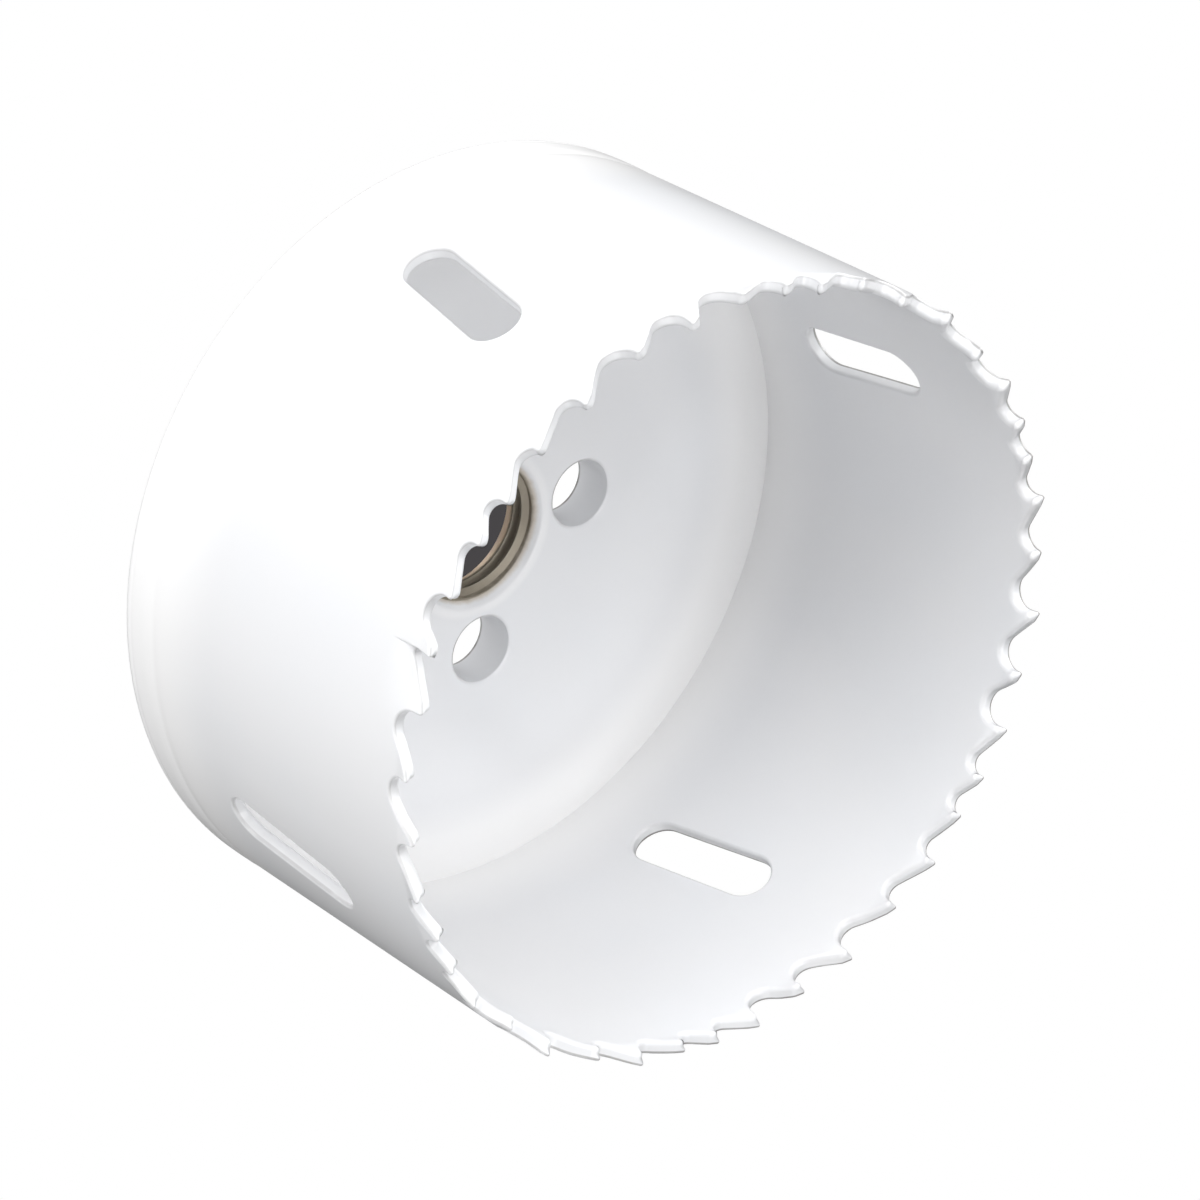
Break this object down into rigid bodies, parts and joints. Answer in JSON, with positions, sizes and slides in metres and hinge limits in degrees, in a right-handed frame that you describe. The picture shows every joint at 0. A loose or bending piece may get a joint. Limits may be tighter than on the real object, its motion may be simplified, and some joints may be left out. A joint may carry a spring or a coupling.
{
  "type": "hole saw",
  "caption": "Painted bi-metal hole saw cup with variable-pitch set teeth, slanted slug slots, a threaded arbor hole and drive-pin holes in its base",
  "frame": {"origin": "centre of the underside of the base plate, where the saw stands", "axes": "+Z runs along the saw's axis from the base to the tooth tips, +X and +Y pass through two of the slug slots"},
  "size_m": [0.0844, 0.0849, 0.0476],
  "materials": {
    "base_paint": "gloss white enamel over stamped steel, bare steel thread",
    "weld_paint": "gloss white enamel over the weld bead",
    "shell_paint": "gloss white enamel over rolled bi-metal strip"
  },
  "bodies": {
    "root": {"base_plate": "base_paint", "weld_ring": "weld_paint", "toothed_shell": "shell_paint"}
  },
  "joints": []
}
